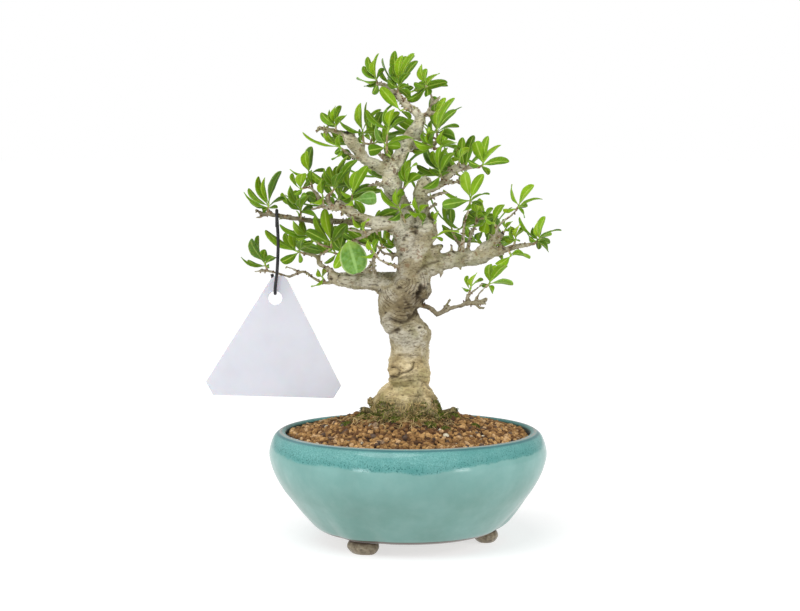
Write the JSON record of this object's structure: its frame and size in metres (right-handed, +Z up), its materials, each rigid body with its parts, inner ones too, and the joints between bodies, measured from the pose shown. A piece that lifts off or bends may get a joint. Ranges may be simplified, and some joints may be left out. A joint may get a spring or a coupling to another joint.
{
  "type": "potted bonsai tree",
  "caption": "Small-leaved bonsai with a thick knobbly trunk and open leafy pads, in a round glazed pot on low feet, with a blank triangular plant tag hung on a wire.",
  "frame": {"origin": "middle of the underside of the whole, on the table that the feet stand on", "axes": "+Z up the trunk, +X to the right as seen from the tree's front, the front faces -Y"},
  "size_m": [0.2106, 0.1664, 0.2942],
  "materials": {
    "bark": "matte",
    "leaf": "satin",
    "glaze": "gloss",
    "soil": "matte",
    "net": "matte",
    "tag": "satin",
    "wire": "satin"
  },
  "bodies": {
    "root": {"tree_wood": "bark", "pot": "glaze", "soil": "soil", "drainage_net": "net", "plant_tag": "tag", "tag_wire": "wire", "leaves_hook_branch_1": "leaf", "leaves_hook_branch_2": "leaf", "leaves_hook_branch_3": "leaf", "leaves_hook_branch_4": "leaf", "leaves_hook_branch_5": "leaf", "leaves_left_middle_1": "leaf", "leaves_left_middle_2": "leaf", "leaves_left_middle_3": "leaf", "leaves_left_middle_4": "leaf", "leaves_low_left_1": "leaf", "leaves_low_left_2": "leaf", "leaves_low_left_3": "leaf", "leaves_low_left_4": "leaf", "leaves_low_left_5": "leaf", "leaves_low_left_6": "leaf", "leaves_low_left_7": "leaf", "leaves_upper_left_1": "leaf", "leaves_upper_left_2": "leaf", "leaves_upper_left_3": "leaf", "leaves_upper_left_4": "leaf", "leaves_apex_1": "leaf", "leaves_apex_2": "leaf", "leaves_apex_3": "leaf", "leaves_apex_4": "leaf", "leaves_apex_5": "leaf", "leaves_upper_right_1": "leaf", "leaves_upper_right_2": "leaf", "leaves_upper_right_3": "leaf", "leaves_upper_right_4": "leaf", "leaves_upper_right_5": "leaf", "leaves_upper_right_6": "leaf", "leaves_upper_right_7": "leaf", "leaves_upper_right_8": "leaf", "leaves_right_main_1": "leaf", "leaves_right_main_2": "leaf", "leaves_right_main_3": "leaf", "leaves_right_main_4": "leaf", "leaves_right_main_5": "leaf", "leaves_right_main_6": "leaf", "leaves_right_main_7": "leaf", "leaves_right_main_8": "leaf", "leaves_right_main_9": "leaf", "leaves_low_right_1": "leaf", "leaves_low_right_2": "leaf", "leaves_back_1": "leaf", "leaves_back_2": "leaf", "leaves_back_3": "leaf", "leaves_back_4": "leaf", "leaves_back_5": "leaf", "leaves_back_6": "leaf", "leaves_back_7": "leaf", "leaves_back_8": "leaf", "leaves_back_9": "leaf", "leaves_back_10": "leaf"}
  },
  "joints": []
}
